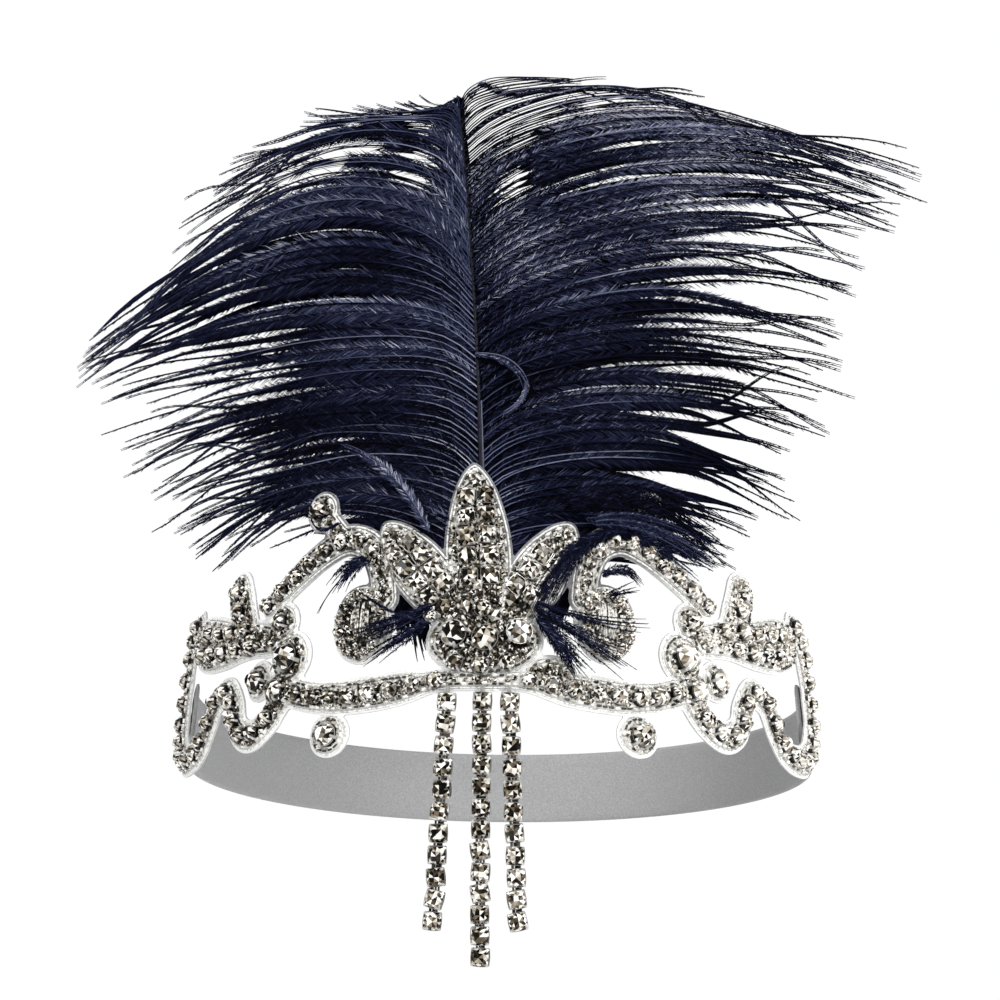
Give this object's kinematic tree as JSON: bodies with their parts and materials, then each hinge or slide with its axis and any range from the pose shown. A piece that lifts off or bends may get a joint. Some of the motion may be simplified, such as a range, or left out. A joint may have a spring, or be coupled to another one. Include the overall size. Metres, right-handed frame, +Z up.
{
  "type": "flapper feather headband",
  "caption": "Headband of pierced lace set with faceted smoky stones, with hanging stone chains, a tall dark ostrich plume behind its flower and a grey elastic round the back.",
  "frame": {"origin": "middle of the hollow for the head, in the plane of the ring that the elastic and the lace make", "axes": "+Z up as worn, -Y towards the front of the head, +X to the right as seen from the front; the ring's plane rises 11.5 degrees towards the front"},
  "size_m": [0.1951, 0.1953, 0.2116],
  "materials": {
    "elastic": "woven matte grey",
    "lace": "silver thread and seed beads on a thin white backing",
    "stone": "faceted, clear to smoky",
    "setting": "silver-coloured cups, links and beads",
    "feather": "soft dark navy barbs",
    "quill": "dark satin quill"
  },
  "bodies": {
    "root": {"elastic_band": "elastic", "lace_flower": "lace", "lace_bar_left": "lace", "lace_bar_right": "lace", "lace_arm_left": "lace", "lace_arm_right": "lace", "lace_end_left": "lace", "lace_end_right": "lace", "plume": "feather", "chain_left": "setting", "chain_centre": "setting", "chain_right": "setting", "stones_petal_centre": "stone", "stones_petal_left": "stone", "stones_petal_right": "stone", "stones_bar_left": "stone", "stones_bar_right": "stone", "stones_arm_left": "stone", "stones_arm_right": "stone", "stones_oval_left": "stone", "stones_oval_right": "stone", "stones_leaf_left": "stone", "stones_leaf_right": "stone", "stones_finger_left": "stone", "stones_finger_right": "stone", "stones_meander_left": "stone", "stones_meander_right": "stone", "heart_stone_1": "stone", "heart_stone_2": "stone", "heart_stone_3": "stone", "heart_stone_4": "stone", "heart_stone_5": "stone", "heart_stone_6": "stone", "heart_stone_7": "stone", "heart_stone_8": "stone", "bud_stone_left": "stone", "bud_stone_right": "stone", "drop_stone_left": "stone", "drop_stone_right": "stone", "tip_stone_left": "stone", "tip_stone_right": "stone", "lobe_stone_1_left": "stone", "lobe_stone_1_right": "stone", "lobe_stone_2_left": "stone", "lobe_stone_2_right": "stone", "lobe_stone_3_left": "stone", "lobe_stone_3_right": "stone", "lobe_stone_4_left": "stone", "lobe_stone_4_right": "stone"}
  },
  "joints": []
}
